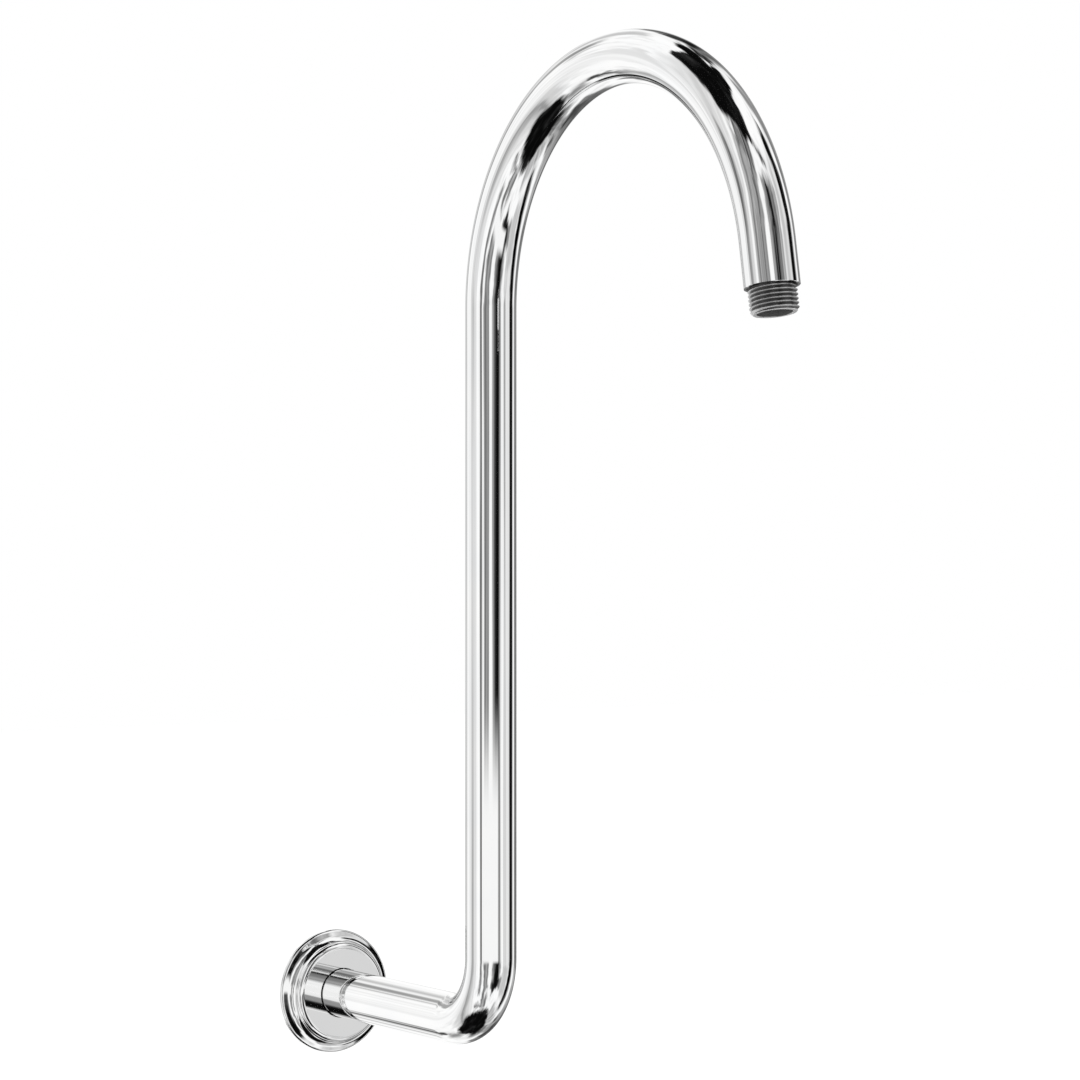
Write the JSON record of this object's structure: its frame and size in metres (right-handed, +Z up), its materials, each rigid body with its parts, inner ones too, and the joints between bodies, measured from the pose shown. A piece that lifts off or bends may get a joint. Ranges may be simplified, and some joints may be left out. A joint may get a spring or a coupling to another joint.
{
  "type": "shower arm",
  "caption": "Chrome gooseneck shower arm: a bent tube that rises from a round sliding wall flange and curves over to a threaded outlet for a shower head.",
  "frame": {"origin": "where the inlet's axis meets the wall, in the plane of the flange's back face", "axes": "+X out of the wall along the level leg, +Z up along the riser; the arm lies in the XZ plane"},
  "size_m": [0.3859, 0.0614, 0.4845],
  "materials": {
    "polished_chrome": "mirror-polished plating over brass",
    "plated_thread": "thin plating over a turned thread",
    "seal_rubber": "smooth black rubber"
  },
  "bodies": {
    "arm": {"arm_tube": "polished_chrome", "inlet_nipple": "plated_thread", "outlet_nipple": "plated_thread"},
    "cover": {"flange": "polished_chrome", "flange_ring": "seal_rubber"}
  },
  "joints": [
    {"name": "flange_slide", "type": "slide", "parent": "arm", "child": "cover", "axis": [1, 0, 0], "range_m": [0, 0.1]}
  ]
}
